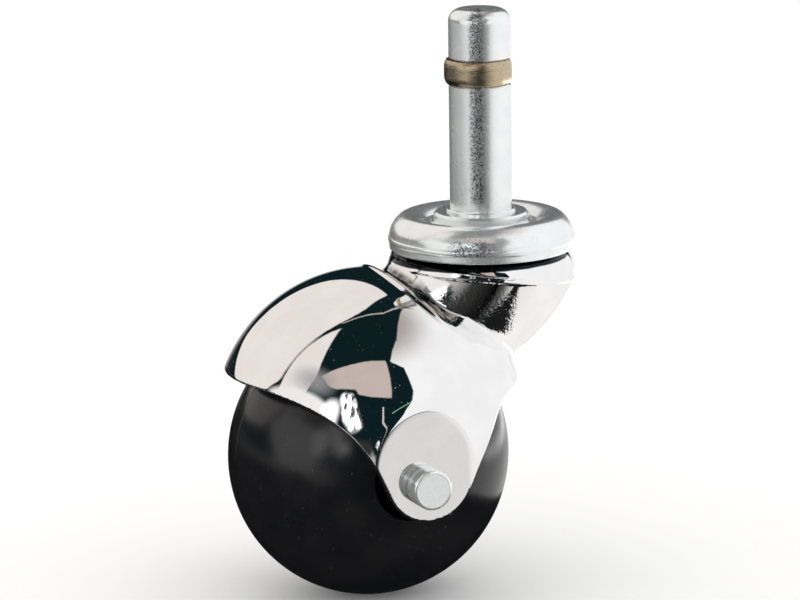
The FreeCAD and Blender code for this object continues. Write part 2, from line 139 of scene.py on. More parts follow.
# Studio as it shows in reflections: corners of patches as (azimuth, height) in degrees
TEAL = (0.004, 0.013, 0.016)
WARM_WHITE = (0.83, 0.78, 0.75)
SEAM = (0.42, 0.375, 0.35)
SKY_PATCHES = (
    # big cloth behind on the left
    (((178, 6), (170, 25), (157, 40), (144, 51), (143, 57), (152, 68), (165, 75), (-165, 78),
      (-135, 75.5), (-116, 66), (-108, 47), (-106, 27), (-118, 13), (-150, 5), (-180, 5)),
     1.0, WARM_WHITE),
    # narrower cloth in front of it
    (((-124, 76), (-112, 75), (-97, 70), (-84, 61), (-76, 49), (-74, 40), (-80, 18), (-100, 10),
      (-106, 28), (-107, 48), (-114, 65)), 1.2, WARM_WHITE),
    # the pole between them, which runs on over the top
    (((-126, 75), (-116, 68), (-109, 48), (-107, 28), (-105, 28), (-106, 48), (-112.5, 67)), 0.3, SEAM),
    (((-125, 73.5), (-126, 75.5), (125, 77.5), (126, 75.5)), 0.3, SEAM),
    (((124, 78), (129, 78), (122.5, 60), (119.5, 60)), 0.3, SEAM),
    # pink and grey cloth in front
    (((-70, 42), (-57, 51), (-38, 57), (-18, 59.5), (-2, 58.5), (-1.5, 45), (-4, 30), (-20, 31.5),
      (-38, 34), (-58, 36)), 1.2, (0.56, 0.47, 0.43)),
    (((-100, 34), (-90, 45), (-64, 47), (-52, 43), (-54, 31), (-75, 27)), 12.0, (0.34, 0.34, 0.35)),
    (((-112, 19), (-96, 28), (-76, 30), (-60, 27), (-49, 14), (-60, -6), (-90, -4)), 4.0,
     (0.88, 0.86, 0.85)),
    # thin white cord and a green thread in the dark gap
    (((-12.5, 24), (-11.3, 24), (-12.8, 0), (-14.2, 0)), 0.25, (0.62, 0.55, 0.52)),
    (((-5, 18.3), (15, 24.6), (15, 25.6), (-5, 19.3)), 0.25, (0.25, 0.55, 0.36)),
)
# One softbox on the right, in three convex pieces
SOFTBOX = (
    ((3, 56.5), (14, 65), (32, 70), (60, 55), (30, 48), (15, 50)),
    ((15.5, 58), (32, 70), (60, 74), (92, 73), (116, 66), (128, 45), (134, 0), (75, -14), (40, -8),
     (15.5, 4)),
    ((15.5, 33), (3.5, 6), (2, 2), (25, 1), (25, 33)),
)
LAMP_RIM = ((-51, 36), (-34, 37), (-25, 18), (-20, 2), (-34, 1), (-47, 17))
LAMP = ((-46, 33), (-37, 34), (-28, 10), (-36, 5), (-45, 18))
LAMP_HALO = ((-60, 24), (-53, 29), (-47, 28), (-48, 10), (-52, 4), (-58, 6))
LAMP_POWER = 3.0
HALO_POWER = 2.6
CORNER_ROUNDING = 0.03                          # of a patch, for each degree its edge is soft
HORIZON_LEVELS = (                              # brightness at the horizon, by azimuth
    (-180, 0.02), (-158, 0.04), (-138, 0.2), (-97, 0.36), (-68, 0.64), (-50, 0.4), (-34, 0.04),
    (-4, 0.0), (6, 0.1), (17, 0.6), (28, 0.84), (60, 0.92), (140, 0.92), (168, 0.4), (180, 0.02),
)

# Cards on the floor that only reflections see, between two (x, y) corners in metres
DARK_CARD_LOW = (-0.30, -0.088)
DARK_CARD_HIGH = (0.036, 0.26)
DARK_CARD_FADE = 0.005
BRIGHT_CARD_LOW = (0.12, -0.03)
BRIGHT_CARD_HIGH = (0.24, 0.26)
BRIGHT_CARD_FADE = 0.05
BRIGHT_CARD_POWER = 3.4

# Camera, with angles in degrees
CAMERA_AZIMUTH = -21.865
CAMERA_HEIGHT = 12.067
CAMERA_ROLL = -0.76
CAMERA_DISTANCE = 891.55
CAMERA_TARGET = (-15.657, 0.44, -15.083)


# ---------------------------------------------------------------- distance field helpers

def sigmoid(value):
    return 1 / (1 + np.exp(-np.clip(value, -40, 40)))


def softplus(value):
    return np.log1p(np.exp(-np.abs(value))) + np.maximum(value, 0)


def smoothstep(value, low, high):
    t = np.clip((value - low) / (high - low), 0, 1)
    return t * t * (3 - 2 * t)


def smooth_min(a, b, width):
    overlap = np.maximum(width - np.abs(a - b), 0) / width
    return np.minimum(a, b) - overlap ** 3 * width / 6


def smooth_max(a, b, width):
    return -smooth_min(-a, -b, width)


def clamped_spline(points, start, end, steps=14):
    """Smooth curve through points that leaves along start and arrives along end."""
    points = np.array(points, float)
    gaps = np.linalg.norm(np.diff(points, axis=0), axis=1)
    count = len(points)
    matrix = np.eye(count)
    right = np.zeros((count, 2))
    right[0] = start
    right[-1] = end
    for i in range(1, count - 1):
        before, after = gaps[i - 1], gaps[i]
        matrix[i, i - 1:i + 2] = (after, 2 * (before + after), before)
        rise_before = (points[i] - points[i - 1]) / before
        rise_after = (points[i + 1] - points[i]) / after
        right[i] = 3 * (after * rise_before + before * rise_after)
    slopes = np.linalg.solve(matrix, right)
    curve = []
    for i, gap in enumerate(gaps):
        t = np.linspace(0, 1, steps, endpoint=False)[:, None]
        curve.append(
            (2 * t ** 3 - 3 * t ** 2 + 1) * points[i]
            + (t ** 3 - 2 * t ** 2 + t) * gap * slopes[i]
            + (3 * t ** 2 - 2 * t ** 3) * points[i + 1]
            + (t ** 3 - t ** 2) * gap * slopes[i + 1]
        )
    return np.concatenate(curve + [points[-1:]])


# ---------------------------------------------------------------- hood's edge, seen from the side

def hood_edge():
    """Outline in x and z of the hood's lower edge: front brim, round ear end, rear arch."""
    front_angle, rear_angle = EAR_END_ANGLES
    dome = DOME_CENTRE[[0, 2]]
    ear = EAR_END[[0, 2]]

    def ear_point(angle):
        return ear + EAR_END_R * np.array([math.cos(angle), math.sin(angle)])

    def ear_tangent(angle):
        return np.array([-math.sin(angle), math.cos(angle)])

    brim = [dome + offset for offset in BRIM]
    arch = [dome + offset for offset in REAR_ARCH]
    front = clamped_spline(brim + [ear_point(front_angle)], (1, 0), ear_tangent(front_angle))
    bottom = [ear_point(angle) for angle in np.linspace(front_angle, rear_angle, 30)]
    back = clamped_spline([ear_point(rear_angle)] + arch, ear_tangent(rear_angle), (1, 0))
    return np.concatenate([front, bottom[1:-1], back])


class EdgeTable:
    """Distance to the hood's edge in the side view, positive below it, looked up in a fine grid."""

    STEP = 0.12

    def __init__(self, edge):
        self.low = edge.min(axis=0) - 4
        size = edge.max(axis=0) + 26 - self.low
        self.count = (size / self.STEP).astype(int) + 2
        x = self.low[0] + self.STEP * np.arange(self.count[0])[:, None]
        z = self.low[1] + self.STEP * np.arange(self.count[1])[None, :]
        nearest = np.full(self.count, 1e9)
        crossings = np.zeros(self.count, int)
        for (ax, az), (bx, bz) in zip(edge, edge[1:]):
            dx, dz = bx - ax, bz - az
            t = np.clip(((x - ax) * dx + (z - az) * dz) / (dx * dx + dz * dz), 0, 1)
            nearest = np.minimum(nearest, (x - ax - t * dx) ** 2 + (z - az - t * dz) ** 2)
            straddles = (ax <= x) != (bx <= x)
            height = az + dz * (x - ax) / (dx if dx else 1e-9)
            crossings += straddles & (z < height)
        self.table = np.sqrt(nearest) * np.where(crossings % 2 == 1, 1, -1)

    def __call__(self, x, z):
        u = np.clip((x - self.low[0]) / self.STEP, 0, self.count[0] - 1.001)
        v = np.clip((z - self.low[1]) / self.STEP, 0, self.count[1] - 1.001)
        i, j = u.astype(int), v.astype(int)
        u, v = u - i, v - j
        table = self.table
        here = table[i, j] * (1 - u) + table[i + 1, j] * u
        above = table[i, j + 1] * (1 - u) + table[i + 1, j + 1] * u
        return here * (1 - v) + above * v


# ---------------------------------------------------------------- horn's distance field

def collar(x, y, z, below_edge):
    """Upright collar with a rounded shoulder and a leaning lower edge that is slightly rolled."""
    bead_fade = smoothstep(x, -13.0, -5.0)
    bead = COLLAR_BEAD * bead_fade * np.exp(-((below_edge + 0.4) / 0.35) ** 2)
    shoulder = softplus((z - SHOULDER_Z) / 0.9) * 0.9
    aside = np.hypot(x, y) - (COLLAR_R + 0.1 + bead - 1.1 * shoulder)
    return smooth_max(aside, below_edge, 0.3)


def neck_tube(x, y, z, below_edge):
    """Bent tube that narrows from the collar's lower edge to the round ledge on the dome."""
    across, down = x - NECK_PIVOT[0], NECK_PIVOT[1] - z
    angle = np.arctan2(down, np.maximum(across, 0.5))
    top, foot = NECK_ANGLES
    bent = np.clip((angle - top) / (foot - top), -0.2, 1.6)
    centre = NECK_CENTRE[0] + (NECK_CENTRE[1] - NECK_CENTRE[0]) * bent
    radius = NECK_R[0] + (NECK_R[1] - NECK_R[0]) * bent
    aside = np.hypot(np.hypot(across, down) - centre, y) - radius
    beside_pivot = np.maximum(-below_edge - 1.0, 1.2 - across)
    return smooth_max(aside, beside_pivot, 0.3)


def neck_outside(x, y, z):
    below_edge = COLLAR_EDGE - z - COLLAR_LEAN * (x - COLLAR_R)
    join = 0.25 + 1.2 * smoothstep(-x, 3.0, 13.0)
    return smooth_min(collar(x, y, z, below_edge), neck_tube(x, y, z, below_edge), join)


def dome_radius(x, y, z):
    """The dome's radius with its thin raised lip and the sunk band between the lip and the neck."""
    across = x * math.sin(LIP_TILT) + z * math.cos(LIP_TILT) - LIP_DISTANCE
    to_top = z * math.sin(LIP_TILT) - x * math.cos(LIP_TILT)
    fade = 1 - smoothstep(np.arctan2(np.abs(y), to_top), *LIP_FADE)
    ridge = np.exp(-(across / LIP_HALF_WIDTH) ** 2)
    valley = sigmoid((across - VALLEY_START) / 0.22)
    return DOME_R + fade * (LIP_HEIGHT * ridge - VALLEY_DEPTH * valley)


def dome_reach(x, y, z):
    """Distance from the dome's centre above it, and from the upright line below it."""
    above = np.maximum(z - DOME_CENTRE[2], 0)
    return np.sqrt((x - DOME_CENTRE[0]) ** 2 + y * y + above ** 2)


def hood_outside(x, y, z):
    """Dome with its lip, flattened at the ears, each with a long flat round the axle."""
    aside = dome_reach(x, y, z) - dome_radius(x - DOME_CENTRE[0], y, z - DOME_CENTRE[2])
    nearest = np.clip(z, EAR_FLAT[2] - EAR_FLAT_LENGTH, EAR_FLAT[2])
    boss = np.hypot(x - EAR_FLAT[0], z - nearest) - EAR_FLAT_R
    aside = smooth_min(aside, boss, 2.5)
    return smooth_max(aside, np.abs(y) - EAR_OUTER, EAR_BLEND)


def hood_inside(x, y, z):
    """Hollow for the ball, one wall inside the hood and the ears."""
    aside = dome_reach(x, y, z) - (DOME_R - WALL)
    return smooth_max(aside, np.abs(y) - (EAR_OUTER - WALL), 0.8)


def bores(x, y, z):
    """Fields of the swivel bore, the axle bore and the two race seats in the web, negative outside them."""
    rho = np.hypot(x, y)
    beside_upper = RACE_HALF_WIDTH - np.abs(rho - UPPER_RACE_R)
    beside_lower = RACE_HALF_WIDTH - np.abs(rho - LOWER_RACE_R)
    yield PIN_BORE_R - rho
    yield AXLE_BORE_R - np.hypot(x - AXLE[0], z - AXLE[2])
    yield np.minimum(beside_upper, z - (WEB_TOP - RACE_DEPTH))
    yield np.minimum(beside_lower, WEB_UNDER + RACE_DEPTH - z)


def horn_field(x, y, z, edge):
    """Signed distance to the horn's surface, negative inside the metal."""
    neck_skin = neck_outside(x, y, z)
    neck = smooth_max(neck_skin, z - WEB_TOP, 0.8)
    fillet = 0.5 + 2.5 * smoothstep(x, -9.0, 1.0)
    outside = smooth_min(hood_outside(x, y, z), neck, fillet)
    neck_inside = smooth_max(neck_skin + NECK_WALL, z - WEB_UNDER, 0.8)
    hollow = smooth_min(hood_inside(x, y, z), neck_inside, 1.0)
    shell = smooth_max(outside, -hollow, 0.25)
    shell = smooth_max(shell, edge(x, z), EDGE_ROUNDING)
    for bore in bores(x, y, z):
        shell = smooth_max(shell, bore, 0.15)
    return shell


def field_gradient(field, points, step=0.02):
    """Slope of the field at each point, by differences over a small step."""
    gradient = np.empty_like(points)
    for axis in range(3):
        shift = np.zeros(3)
        shift[axis] = step
        ahead = field(*(points + shift).T)
        behind = field(*(points - shift).T)
        gradient[:, axis] = (ahead - behind) / (2 * step)
    return gradient


def largest_part(points, quads, triangles):
    """Leaves out the loose scraps that trimming can cut off, and renumbers the faces."""
    edges = [faces[:, [i, i - 1]] for faces in (quads, triangles) for i in range(faces.shape[1])]
    a, b = np.concatenate(edges).astype(int).T
    label = np.arange(len(points))
    settled = False
    while not settled:
        lower = np.minimum(label[a], label[b])
        merged = label.copy()
        np.minimum.at(merged, a, lower)
        np.minimum.at(merged, b, lower)
        merged = merged[merged]
        settled = np.array_equal(merged, label)
        label = merged
    kept = label == np.bincount(label).argmax()
    number = np.cumsum(kept) - 1
    quads = number[quads[kept[quads[:, 0]]]]
    triangles = number[triangles[kept[triangles[:, 0]]]]
    return points[kept], quads, triangles


def mesh_from_field(name, field, low, high, voxel):
    """Mesh of the field's zero surface, with its points and normals moved onto the exact surface."""
    axes = [np.arange(a, b + voxel, voxel) for a, b in zip(low, high)]
    values = field(axes[0][:, None, None], axes[1][None, :, None], axes[2][None, None, :])
    limit = 3 * voxel
    grid = openvdb.FloatGrid(limit)
    grid.copyFromArray(np.ascontiguousarray(np.clip(values, -limit, limit), np.float32))
    points, triangles, quads = grid.convertToPolygons(isovalue=0.0, adaptivity=0.0)
    points = np.array(points, float) * voxel + np.array([axis[0] for axis in axes])
    points, quads, triangles = largest_part(points, quads, triangles)
    for _ in range(4):
        gradient = field_gradient(field, points)
        steepness = np.maximum((gradient ** 2).sum(axis=1), 0.05)
        move = -field(*points.T) / steepness
        move = np.clip(move, -0.4 * voxel, 0.4 * voxel)
        points += gradient * move[:, None]
    normals = field_gradient(field, points)
    normals /= np.maximum(np.linalg.norm(normals, axis=1), 1e-9)[:, None]
    faces = [tuple(face) for face in quads] + [tuple(face) for face in triangles]
    mesh = bpy.data.meshes.new(name)
    mesh.from_pydata((points * MM).tolist(), [], faces)
    mesh.validate()
    first = mesh.polygons[0]
    if Vector(normals[first.vertices[0]]).dot(first.normal) < 0:
        mesh.flip_normals()
    for polygon in mesh.polygons:
        polygon.use_smooth = True
    mesh.normals_split_custom_set_from_vertices([tuple(normal) for normal in normals])
    return mesh


def add_object(name, mesh, body, replaced=()):
    """Links a finished mesh, rides it on its CAD body and hides the CAD nodes it stands for."""
    piece = bpy.data.objects.new(name, mesh)
    bpy.context.scene.collection.objects.link(piece)
    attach(piece, body)
    if replaced:
        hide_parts(*replaced)
    return piece


def horn():
    edge = EdgeTable(hood_edge())

    def field(x, y, z):
        return horn_field(x, y, z, edge)

    margin = 1.5
    low = HORN_LOW - margin
    high = HORN_HIGH + margin
    mesh = mesh_from_field("horn_shell", field, low, high, VOXEL)
    return add_object("horn_shell", mesh, "horn", ["horn"])


# ---------------------------------------------------------------- turned pieces

def lathe_mesh(name, profile, steps=256):
    """Mesh turned about Z from points (radius, height). Points at radius 0 close the ends."""
    vertices = []
    rings = []
    for radius, height in profile:
        if radius == 0:
            rings.append([len(vertices)])
            vertices.append((0, 0, height))
            continue
        ring = []
        for i in range(steps):
            angle = 2 * math.pi * i / steps
            ring.append(len(vertices))
            vertices.append((radius * math.cos(angle), radius * math.sin(angle), height))
        rings.append(ring)
    faces = []
    for lower, upper in zip(rings, rings[1:]):
        for i in range(steps):
            j = (i + 1) % steps
            if len(lower) == 1:
                faces.append((lower[0], upper[i], upper[j]))
            elif len(upper) == 1:
                faces.append((lower[i], lower[j], upper[0]))
            else:
                faces.append((lower[i], lower[j], upper[j], upper[i]))
    mesh = bpy.data.meshes.new(name)
    mesh.from_pydata([tuple(c * MM for c in vertex) for vertex in vertices], [], faces)
    mesh.validate()
    return mesh


def smooth_mesh(mesh, sharp_degrees=35):
    for polygon in mesh.polygons:
        polygon.use_smooth = True
    mesh.set_sharp_from_angle(angle=math.radians(sharp_degrees))


def place_on_axle(mesh):
    """Turns a mesh made about Z so that its axis lies along the wheel's axle."""
    turn = Matrix.Rotation(math.radians(-90), 4, "X")
    mesh.transform(Matrix.Translation(Vector(AXLE * MM)) @ turn)


def gate_stub():
    """Stub left on the ball's near side where the moulding gate was twisted off."""
    angle = math.acos(STUB_FROM_AXLE / WHEEL_R)
    outwards = Vector((math.cos(STUB_ANGLE), 0, math.sin(STUB_ANGLE)))
    sideways = Vector((0, -1, 0))
    normal = outwards * (math.cos(angle) / WHEEL_R) + sideways * (math.sin(angle) / WHEEL_HALF_WIDTH)
    foot = Vector(AXLE) + outwards * STUB_FROM_AXLE + sideways * (WHEEL_HALF_WIDTH * math.sin(angle))
    profile = [
        (0, -STUB_ROOT), (STUB_R, -STUB_ROOT), (STUB_R, STUB_HEIGHT - 0.12),
        (STUB_R - 0.12, STUB_HEIGHT), (0.3, STUB_HEIGHT - 0.1), (0, STUB_HEIGHT - 0.15),
    ]
    mesh = lathe_mesh("gate_stub", profile, 24)
    turn = Vector((0, 0, 1)).rotation_difference(normal).to_matrix().to_4x4()
    mesh.transform(Matrix.Translation(foot * MM) @ turn)
    return mesh


def join_meshes(mesh, other):
    """Adds the second mesh to the first."""
    both = bmesh.new()
    both.from_mesh(mesh)
    both.from_mesh(other)
    both.to_mesh(mesh)
    both.free()


def tread():
    """Slightly flattened ball with its parting groove, a recess round each hub and a gate stub."""
    edge_angle = math.acos(RECESS_R / WHEEL_R)
    profile = []
    for angle in np.linspace(0.006, edge_angle, 90):
        profile.append((WHEEL_R * math.cos(angle), WHEEL_HALF_WIDTH * math.sin(angle)))
    rim = profile[-1][1]
    recess = [
        (RECESS_R - 0.25, rim - 0.12),
        (RECESS_R - 0.3, rim - 0.5),
        (RECESS_R - 0.3, RECESS_FACE),
        (RECESS_BORE_R, RECESS_FACE),
    ]
    half = profile + recess
    other_half = [(radius, -height) for radius, height in reversed(half)]
    groove = [(WHEEL_R - GROOVE_DEPTH, 0)]
    mesh = lathe_mesh("tread_ball", other_half + groove + half, 320)
    place_on_axle(mesh)
    join_meshes(mesh, gate_stub())
    smooth_mesh(mesh, 40)
    return add_object("tread_ball", mesh, "wheel", ["wheel_tread"])


# ---------------------------------------------------------------- node helpers

class Nodes:
    """Builds a shader node tree. Values may be numbers or the outputs of other nodes."""

    def __init__(self, tree):
        self.tree = tree
        tree.nodes.clear()

    def add(self, kind, inputs=None, **settings):
        node = self.tree.nodes.new(kind)
        for name, value in settings.items():
            setattr(node, name, value)
        for name, value in (inputs or {}).items():
            if isinstance(value, bpy.types.NodeSocket):
                self.tree.links.new(value, node.inputs[name])
            elif isinstance(name, int) and node.inputs[name].type == "VECTOR":
                node.inputs[name].default_value = tuple(value)
            else:
                node.inputs[name].default_value = value
        return node

    def math(self, operation, a, b=0.0, c=0.0):
        node = self.add("ShaderNodeMath", operation=operation)
        for i, value in enumerate((a, b, c)):
            if isinstance(value, bpy.types.NodeSocket):
                self.tree.links.new(value, node.inputs[i])
            else:
                node.inputs[i].default_value = value
        return node.outputs[0]

    def times(self, a, *others):
        for other in others:
            a = self.math("MULTIPLY", a, other)
        return a

    def step(self, value, low, high, out_low=0.0, out_high=1.0):
        """Smooth step from out_low to out_high while the value goes from low to high."""
        ends = {"From Min": low, "From Max": high, "To Min": out_low, "To Max": out_high}
        node = self.add("ShaderNodeMapRange", {"Value": value, **ends}, interpolation_type="SMOOTHSTEP")
        return node.outputs[0]

    def share(self, value, low, high):
        """How far a value lies between low and high, from 0 to 1."""
        node = self.add("ShaderNodeMapRange", {"Value": value, "From Min": low, "From Max": high})
        return node.outputs[0]

    def mix(self, factor, a, b):
        node = self.add("ShaderNodeMix", data_type="RGBA")
        for index, value in ((0, factor), (6, a), (7, b)):
            if isinstance(value, bpy.types.NodeSocket):
                self.tree.links.new(value, node.inputs[index])
            elif index == 0:
                node.inputs[0].default_value = value
            else:
                node.inputs[index].default_value = (*value, 1)
        return node.outputs[2]

    def noise(self, vector, scale, detail=3.0, roughness=0.5):
        node = self.add(
            "ShaderNodeTexNoise",
            {"Vector": vector, "Scale": scale, "Detail": detail, "Roughness": roughness},
        )
        return node.outputs["Fac"]

    def axes(self, vector):
        return self.add("ShaderNodeSeparateXYZ", {"Vector": vector}).outputs

    def along(self, vector, axis):
        """Length of a vector along an axis."""
        node = self.add("ShaderNodeVectorMath", {0: vector, 1: axis}, operation="DOT_PRODUCT")
        return node.outputs["Value"]

    def azimuth(self, x, y):
        """Degrees from the front (0 towards -Y, growing towards +X)."""
        front = self.times(y, -1.0)
        return self.times(self.math("ARCTAN2", x, front), 180 / math.pi)

    def scaled(self, vector, scale):
        node = self.add("ShaderNodeMapping", {"Vector": vector, "Scale": scale})
        return node.outputs[0]


def new_material(name):
    material = bpy.data.materials.new(name)
    material.use_nodes = True
    nodes = Nodes(material.node_tree)
    shader = nodes.add("ShaderNodeBsdfPrincipled")
    output = nodes.add("ShaderNodeOutputMaterial")
    material.node_tree.links.new(shader.outputs[0], output.inputs[0])
    place = nodes.add("ShaderNodeTexCoord").outputs["Object"]
    return material, nodes, shader, place


def connect(nodes, shader, **sockets):
    """Links sockets or values to the Principled shader's inputs, given with _ for spaces."""
    for name, value in sockets.items():
        target = shader.inputs[name.replace("_", " ")]
        if isinstance(value, bpy.types.NodeSocket):
            nodes.tree.links.new(value, target)
        elif isinstance(value, tuple):
            target.default_value = (*value, 1)
        else:
            target.default_value = value


def bump(nodes, height, distance, strength=1.0):
    node = nodes.add(
        "ShaderNodeBump", {"Height": height, "Distance": distance * MM, "Strength": strength}
    )
    return node.outputs[0]


# ---------------------------------------------------------------- materials

def chrome():
    """Mirror plating with haze and dust, cast grain on the neck, and painted shade in two places: the sunk valley
    behind the lip and a painted shadow under the disc.
    """
    material, nodes, shader, place = new_material("chrome")
    cloud = nodes.noise(place, 180, 4)
    dust = nodes.step(nodes.noise(place, 2600, 2, 0.4), 0.72, 0.76)
    plate = nodes.mix(nodes.step(cloud, 0.35, 0.7), (0.93, 0.925, 0.92), (0.98, 0.975, 0.97))
    # Painted shade: near-black base colour in the valley behind the lip and a painted shadow under the disc.
    painted_shade = nodes.math("MAXIMUM", valley_shade_mask(nodes, place), under_disc_shadow_mask(nodes, place))
    waves = nodes.times(nodes.noise(place, 420, 3), 0.006)
    grain = nodes.times(nodes.noise(place, 1900, 2), 0.035, neck_mask(nodes, place))
    connect(
        nodes, shader,
        Base_Color=nodes.mix(painted_shade, plate, (0.02, 0.022, 0.025)),
        Metallic=nodes.math("SUBTRACT", 1.0, nodes.times(dust, 0.35)),
        Roughness=nodes.step(cloud, 0.4, 0.8, 0.012, 0.04),
        Normal=bump(nodes, nodes.math("ADD", waves, grain), 1.0),
    )
    return material


def dome_axis(tilt):
    """Axis tilted from the vertical towards +X, and how far along it the dome's centre lies."""
    axis = (math.sin(tilt), 0, math.cos(tilt))
    return axis, DOME_CENTRE[0] * axis[0] + DOME_CENTRE[2] * axis[2]


def valley_shade_mask(nodes, place):
    """Sunk band between the lip and the neck's foot, darkened with painted shade."""
    axis, centre = dome_axis(LIP_TILT)
    along = nodes.along(place, axis)
    lip = centre + LIP_DISTANCE
    starts = nodes.step(along, (lip + 0.4) * MM, (lip + 0.9) * MM)
    ends = nodes.step(along, (lip + 3.0) * MM, (lip + 1.8) * MM)
    sideways = nodes.math("ABSOLUTE", nodes.axes(place)["Y"])
    fades = nodes.step(sideways, 17.5 * MM, 13.5 * MM)
    streaks = nodes.step(nodes.noise(place, 700, 3), 0.3, 0.6, 0.5, 0.9)
    return nodes.times(starts, ends, fades, streaks)


def under_disc_shadow_mask(nodes, place):
    """Painted shadow on the collar's shoulder, close under the disc."""
    x, y, z = nodes.axes(place)
    ragged = nodes.math("MULTIPLY_ADD", nodes.noise(place, 300, 2), 0.3 * MM, z)
    height = nodes.math("MULTIPLY_ADD", x, -0.02, ragged)
    return nodes.step(height, -8.0 * MM, -7.8 * MM)


def neck_mask(nodes, place):
    """Neck below the collar, which is plated over rough casting."""
    x, y, z = nodes.axes(place)
    below = nodes.math("MULTIPLY_ADD", x, COLLAR_LEAN, z)
    edge = COLLAR_EDGE + COLLAR_LEAN * COLLAR_R
    under_collar = nodes.step(below, edge * MM, (edge - 4) * MM)
    axis, centre = dome_axis(NECK_ANGLES[1])
    foot = centre + NECK_FOOT_DISTANCE
    on_neck = nodes.step(nodes.along(place, axis), (foot - 1) * MM, (foot + 1) * MM)
    return nodes.times(under_collar, on_neck)


def zinc():
    """Bright zinc plate: fine grain over a satin metal, smoother on the axle, with a painted dark reflection
    streak down one side.
    """
    material, nodes, shader, place = new_material("zinc")
    cloud = nodes.noise(place, 260, 4)
    grain = nodes.noise(place, 2500, 3, 0.6)
    x, y, z = nodes.axes(place)
    above_axle = nodes.step(z, -12 * MM, -10 * MM, 0.2, 1.0)
    plate = nodes.mix(nodes.step(cloud, 0.35, 0.7), (0.90, 0.935, 0.93), (0.96, 0.98, 0.975))
    # Base colour holds a painted dark reflection along the streak.
    connect(
        nodes, shader,
        Base_Color=nodes.mix(reflection_streak_mask(nodes, place), plate, (0.10, 0.12, 0.13)),
        Metallic=0.76,
        Roughness=nodes.step(grain, 0.3, 0.75, 0.17, 0.28),
        Specular_IOR_Level=0.2,
        Normal=bump(nodes, nodes.times(grain, above_axle), 0.007),
    )
    return material


def reflection_streak_mask(nodes, place):
    """Speckled grey streak down one side of the stem and the disc: a painted dark reflection."""
    x, y, z = nodes.axes(place)
    off_middle = nodes.math("ABSOLUTE", nodes.math("ADD", nodes.azimuth(x, y), REFLECTION_STREAK_AZIMUTH))
    band = nodes.step(off_middle, REFLECTION_STREAK_WIDTH, 0.35 * REFLECTION_STREAK_WIDTH)
    speckle = nodes.step(nodes.noise(place, 3400, 2, 0.6), 0.42, 0.62, 0.25, 1.0)
    on_stem = nodes.step(z, 1.5 * MM, 3.0 * MM)
    on_disc_side = nodes.step(z, -1.5 * MM, -3.5 * MM)
    above_rim = nodes.step(z, -5.7 * MM, -5.0 * MM)
    return nodes.times(band, speckle, nodes.math("MAXIMUM", on_stem, on_disc_side), above_rim)


def bronze():
    """Drawn spring wire with streaks that run round the ring."""
    material, nodes, shader, place = new_material("bronze")
    streaks = nodes.noise(nodes.scaled(place, (1, 1, 14)), 900, 4, 0.6)
    connect(
        nodes, shader,
        Base_Color=nodes.mix(nodes.step(streaks, 0.35, 0.7), (0.46, 0.36, 0.22), (0.72, 0.62, 0.45)),
        Metallic=1.0,
        Roughness=nodes.step(streaks, 0.3, 0.8, 0.2, 0.42),
        Normal=bump(nodes, streaks, 0.03),
    )
    return material


def bearing_steel():
    """Hardened and polished steel of the balls and races."""
    material, nodes, shader, place = new_material("bearing_steel")
    cloud = nodes.noise(place, 500, 3)
    connect(
        nodes, shader,
        Base_Color=nodes.mix(cloud, (0.55, 0.56, 0.58), (0.7, 0.71, 0.73)),
        Metallic=1.0,
        Roughness=nodes.step(cloud, 0.3, 0.7, 0.08, 0.2),
        Normal=bump(nodes, cloud, 0.005),
    )
    return material


def core_plastic():
    """Matt moulded plastic of the wheel's core."""
    material, nodes, shader, place = new_material("core_plastic")
    grain = nodes.noise(place, 1500, 4)
    connect(
        nodes, shader,
        Base_Color=nodes.mix(grain, (0.03, 0.03, 0.032), (0.06, 0.06, 0.065)),
        Roughness=nodes.step(grain, 0.3, 0.7, 0.4, 0.6),
        Normal=bump(nodes, grain, 0.05),
    )
    return material


def black_tread():
    """Semi-gloss black with faint clouds of wear and scattered dust."""
    material, nodes, shader, place = new_material("black_tread")
    cloud = nodes.noise(place, 120, 4)
    specks = nodes.step(nodes.noise(place, 2400, 2, 0.4), 0.73, 0.77)
    black = nodes.mix(nodes.step(cloud, 0.3, 0.7), (0.006, 0.0065, 0.008), (0.011, 0.011, 0.012))
    connect(
        nodes, shader,
        Base_Color=nodes.mix(nodes.times(specks, 0.3), black, (0.25, 0.24, 0.23)),
        Roughness=nodes.step(cloud, 0.3, 0.75, 0.18, 0.27),
        IOR=1.55,
        Normal=bump(nodes, nodes.noise(place, 900, 3), 0.008),
    )
    return material


def paint(piece, material):
    """Gives every material slot of a piece the same procedural material."""
    if not piece.material_slots:
        piece.data.materials.append(material)
    for slot in piece.material_slots:
        slot.material = material


# ---------------------------------------------------------------- studio

def sky(azimuth, height):
    """Direction at an azimuth (0 towards -Y, growing towards +X) and a height, both in degrees."""
    a, h = math.radians(azimuth), math.radians(height)
    return Vector((math.sin(a) * math.cos(h), -math.cos(a) * math.cos(h), math.sin(h)))


def sky_polygon(nodes, direction, corners, soft=1.0):
    """Mask of a convex patch of sky with corners (azimuth, height) and an edge soft by some degrees."""
    points = [sky(*corner) for corner in corners]
    middle = sum(points, Vector()).normalized()
    inside = None
    for a, b in zip(points, points[1:] + points[:1]):
        normal = a.cross(b).normalized()
        if normal.dot(middle) < 0:
            normal = -normal
        depth = nodes.along(direction, normal)
        if inside is not None:
            depth = nodes.math("SMOOTH_MIN", inside, depth, CORNER_ROUNDING * soft)
        inside = depth
    half = math.radians(soft) / 2
    return nodes.step(inside, -half, half)


def horizon(nodes, azimuth):
    """Brightness of the room round the horizon, dark behind the hood and bright on the right."""
    ramp = nodes.add("ShaderNodeValToRGB", {0: nodes.share(azimuth, -180, 180)})
    stops = ramp.color_ramp.elements
    while len(stops) < len(HORIZON_LEVELS):
        stops.new(0.5)
    for stop, (angle, level) in zip(stops, HORIZON_LEVELS):
        stop.position = (angle + 180) / 360
        stop.color = (level, level * 0.995, level * 0.99, 1)
    return ramp.outputs["Color"]


